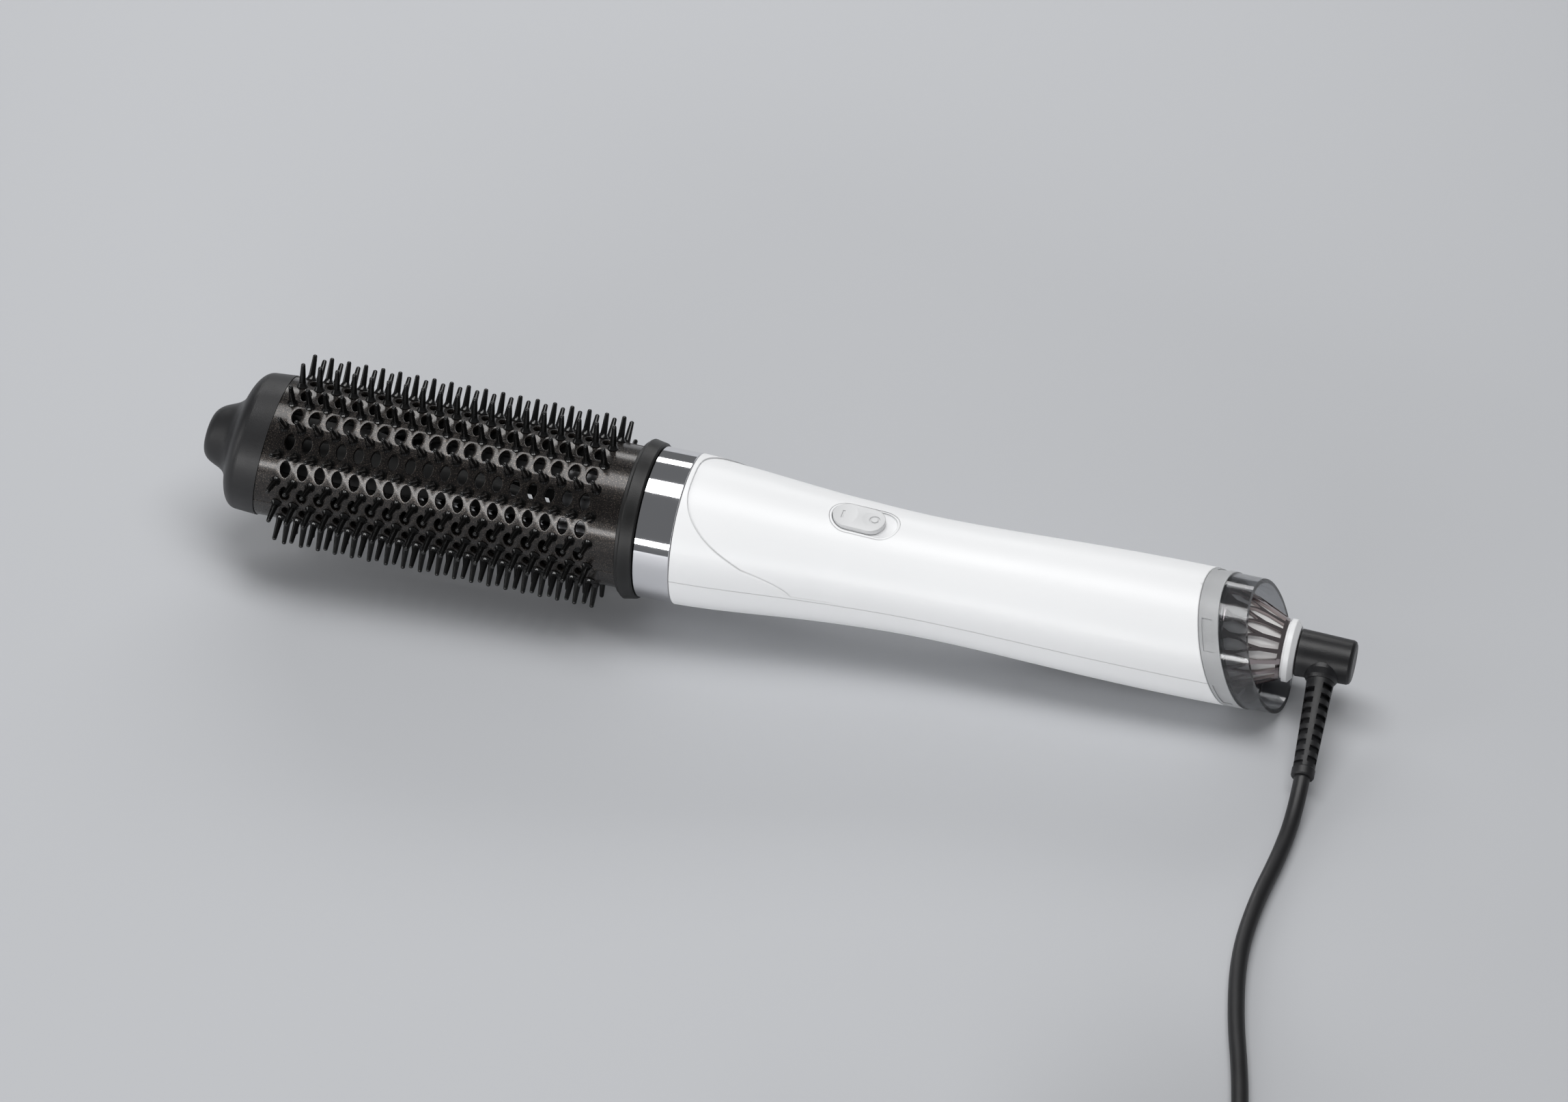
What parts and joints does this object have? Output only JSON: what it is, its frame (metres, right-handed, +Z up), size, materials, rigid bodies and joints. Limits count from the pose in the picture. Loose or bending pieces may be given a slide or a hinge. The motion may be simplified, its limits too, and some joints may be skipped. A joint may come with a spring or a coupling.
{
  "type": "hot air brush",
  "caption": "Round hot air brush with a vented bristle barrel, waisted handle with slide switch, pull-off air filter and swivel mains lead.",
  "frame": {"origin": "middle of the brush's box on the table it lies on, its cord left out", "axes": "+X from the nose to the tail, +Z up through the switch, as it lies at rest"},
  "size_m": [0.4233, 0.3551, 0.0739],
  "materials": {
    "nose": "fine satin texture",
    "nylon": "moulded",
    "barrel": "dark bronze metallic coating",
    "bristles": "gloss",
    "heater_ceramic": "fired",
    "sensor_glass": "clear",
    "collar": "fine texture",
    "chrome_trim": "polished",
    "steel": "plain",
    "mica": "laminated mica",
    "heating_wire": "drawn wire",
    "white_shell": "satin gloss white",
    "plate": "satin, blank",
    "white_button": "satin gloss white",
    "circuit_board": "solder mask",
    "components": "moulded",
    "wire_insulation": "silicone",
    "mount_rubber": "soft",
    "motor_can": "turned",
    "impeller": "glass-filled",
    "clear_ring": "clear plastic, lightly frosted",
    "smoked_cup": "smoked clear plastic",
    "bright_grille": "plated plastic",
    "pale_screen": "pearl white",
    "brass_contact": "polished",
    "elbow_plastic": "satin black, fine texture",
    "relief_rubber": "satin",
    "cord_jacket": "smooth jacket",
    "tie_fabric": "woven strap",
    "plug_metal": "nickel plated"
  },
  "bodies": {
    "body": {"nose_cap": "nose", "barrel_end_plate": "nylon", "air_deflector": "nylon", "barrel": "barrel", "bristle_strip_01": "bristles", "bristle_strip_02": "bristles", "bristle_strip_03": "bristles", "bristle_strip_04": "bristles", "bristle_strip_05": "bristles", "bristle_strip_06": "bristles", "bristle_strip_07": "bristles", "bristle_strip_08": "bristles", "bristle_strip_09": "bristles", "bristle_strip_10": "bristles", "bristle_strip_11": "bristles", "bristle_strip_12": "bristles", "bristle_strip_13": "bristles", "bristle_strip_14": "bristles", "bristle_strip_15": "bristles", "bristle_strip_16": "bristles", "barrel_heater_ring": "heater_ceramic", "barrel_thermistor": "sensor_glass", "collar_ring": "collar", "chrome_ring": "chrome_trim", "heater_housing": "steel", "heater_frame": "mica", "heater_coils": "heating_wire", "thermal_cutout": "steel", "handle_upper_shell": "white_shell", "handle_lower_shell": "white_shell", "shell_screws": "steel", "rating_plate": "plate", "switch_bezel": "white_shell", "slide_switch": "nylon", "control_board": "circuit_board", "board_components": "components", "power_wires": "wire_insulation", "motor_housing": "nylon", "motor_mounts": "mount_rubber", "fan_motor": "motor_can", "inlet_grille": "bright_grille", "inlet_screen": "pale_screen", "end_disc": "white_shell", "contact_block": "nylon", "contact_springs": "brass_contact"},
    "switch_slider": {"switch_slider": "white_button"},
    "fan_rotor": {"motor_shaft": "steel", "impeller": "impeller"},
    "filter": {"filter_ring": "clear_ring", "filter_cup": "smoked_cup"},
    "swivel": {"swivel_elbow": "elbow_plastic", "swivel_retainer": "steel", "strain_relief": "relief_rubber", "cord_lead": "cord_jacket", "cord_coil": "cord_jacket", "cord_tail": "cord_jacket", "cord_tie": "tie_fabric", "plug_body": "elbow_plastic", "plug_pins": "plug_metal"}
  },
  "joints": [
    {"name": "switch_slide", "type": "slide", "parent": "body", "child": "switch_slider", "axis": [0.9988, 0, -0.048], "range_m": [0, 0.004]},
    {"name": "fan_spin", "type": "hinge", "parent": "body", "child": "fan_rotor", "pos_m": [0.1411, 0, 0.02461], "axis": [0.9988, 0, -0.048], "continuous": true},
    {"name": "filter_pull", "type": "slide", "parent": "body", "child": "filter", "axis": [0.9988, 0, -0.048], "range_m": [0, 0.006]},
    {"name": "cord_swivel", "type": "hinge", "parent": "body", "child": "swivel", "pos_m": [0.19743, 0, 0.0219], "axis": [0.9988, 0, -0.048], "continuous": true}
  ]
}
